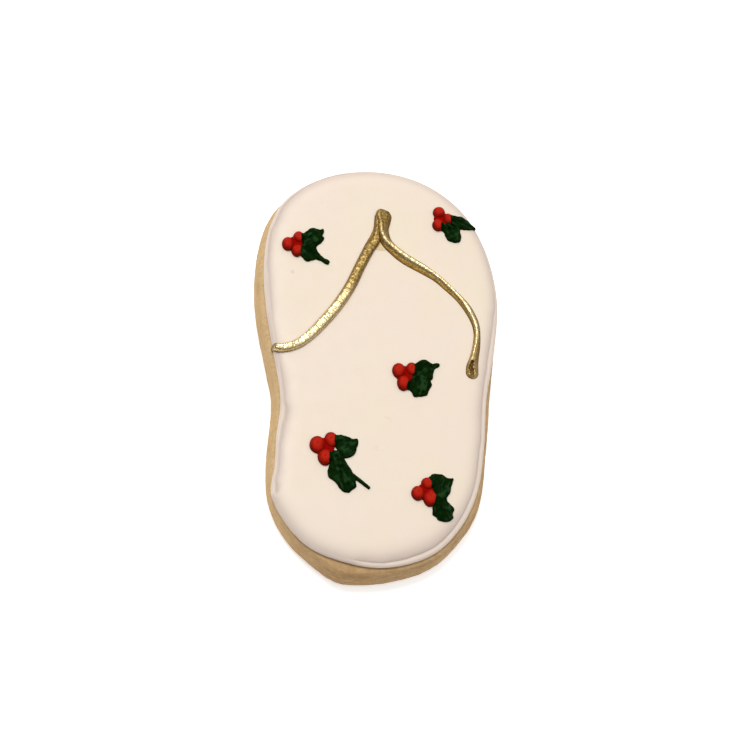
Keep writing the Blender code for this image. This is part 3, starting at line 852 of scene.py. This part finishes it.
def add_camera():
    """The camera, above the heel and a little to the left, with the sole upright."""
    back = Vector((
        sin(CAMERA_AZIMUTH) * cos(CAMERA_ELEVATION),
        -cos(CAMERA_AZIMUTH) * cos(CAMERA_ELEVATION),
        sin(CAMERA_ELEVATION)))
    right = Vector((0, 1, 0)).cross(back).normalized()
    turned = Matrix((right, back.cross(right), back)).transposed().to_4x4()
    camera = bpy.data.objects.new("camera", bpy.data.cameras.new("camera"))
    camera.data.lens = CAMERA_LENS
    camera.data.sensor_width = 36
    camera.matrix_world = Matrix.Translation((Vector(AIM) + CAMERA_DISTANCE * back) * MM) @ turned
    bpy.context.scene.collection.objects.link(camera)
    bpy.context.scene.camera = camera


def add_floor():
    """A plain pale floor that the cookie lies on."""
    size = 3.0
    mesh = bpy.data.meshes.new("floor")
    corners = [(-size, -size, 0), (size, -size, 0), (size, size, 0), (-size, size, 0)]
    mesh.from_pydata(corners, [], [(0, 1, 2, 3)])
    white = bpy.data.materials.new("floor_white")
    white.use_nodes = True
    shader = white.node_tree.nodes["Principled BSDF"]
    shader.inputs["Base Color"].default_value = (0.9, 0.9, 0.9, 1)
    shader.inputs["Roughness"].default_value = 0.9
    shader.inputs["Emission Color"].default_value = (1, 1, 1, 1)
    shader.inputs["Emission Strength"].default_value = FLOOR_GLOW
    mesh.materials.append(white)
    floor = bpy.data.objects.new("floor", mesh)
    bpy.context.scene.collection.objects.link(floor)


def add_light():
    """A soft lamp above the toe, and a sky that is brighter overhead and behind the toe."""
    lamp = bpy.data.lights.new("key", "AREA")
    lamp.shape = "SQUARE"
    lamp.size = KEY_SIZE * MM
    lamp.energy = KEY_POWER
    key = bpy.data.objects.new("key", lamp)
    place = Vector(KEY_PLACE) * MM
    key.matrix_world = Matrix.Translation(place) @ place.to_track_quat("Z", "Y").to_matrix().to_4x4()
    bpy.context.scene.collection.objects.link(key)
    world = bpy.data.worlds.new("studio")
    world.use_nodes = True
    nodes = world.node_tree.nodes
    links = world.node_tree.links
    direction = nodes.new("ShaderNodeTexCoord")
    lean = nodes.new("ShaderNodeVectorMath")
    lean.operation = "DOT_PRODUCT"
    lean.inputs[1].default_value = SKY_LEAN
    ramp = nodes.new("ShaderNodeMapRange")
    ramp.inputs["From Min"].default_value = SKY_DARK_FROM
    ramp.inputs["From Max"].default_value = SKY_LIGHT_FROM
    ramp.inputs["To Min"].default_value = SKY_DARK
    ramp.inputs["To Max"].default_value = SKY_LIGHT
    links.new(direction.outputs["Generated"], lean.inputs[0])
    links.new(lean.outputs["Value"], ramp.inputs["Value"])
    links.new(ramp.outputs["Result"], nodes["Background"].inputs["Strength"])
    nodes["Background"].inputs["Color"].default_value = (1, 1, 1, 1)
    bpy.context.scene.world = world


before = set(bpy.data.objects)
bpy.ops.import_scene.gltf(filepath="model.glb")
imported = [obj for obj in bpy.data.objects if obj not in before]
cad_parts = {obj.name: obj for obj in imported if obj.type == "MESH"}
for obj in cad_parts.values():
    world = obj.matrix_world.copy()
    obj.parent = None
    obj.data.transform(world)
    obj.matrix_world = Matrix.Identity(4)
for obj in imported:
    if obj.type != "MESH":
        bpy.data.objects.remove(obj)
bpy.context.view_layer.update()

BISCUIT_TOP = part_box("biscuit")[1].z / MM
ICING_LOW = BISCUIT_TOP + ICING_EDGE
ICING_LOOP = outer_loop("icing", 6.95, ICING_AROUND)

add_camera()
add_floor()
add_light()
make_biscuit()
make_icing()
gold = gold_surface()
# each strap's last setting grades its painted highlight along y: (from, to) places and strengths
make_strap(
    "strap_left_gold", LEFT_STRAP, (1.0, 3.2), 0.15, (0.5, 1.4), (-10.0, 14.0), ((4.0, 14.0), (1.0, 0.5)),
    "strap_left", gold)
make_strap(
    "strap_right_gold", RIGHT_STRAP, (0.6, 2.2), 0.07, (0.6, 0.7), (13.0, 30.0), ((6.0, 16.0), (0.1, 0.6)),
    "strap_right", gold)
make_smear(smear_surface())
red = berry_surface()
for seed, node in enumerate(berries_of("")):
    make_berry(node, red, seed)
for place in ("upper_left", "upper_right", "middle", "lower_left", "lower_right"):
    make_web(place, red)
green = leaf_surface()
for seed, (place, crease) in enumerate(CREASES.items()):
    make_leaf(place, crease, green, seed + 60)
bpy.context.scene.view_settings.view_transform = "Standard"
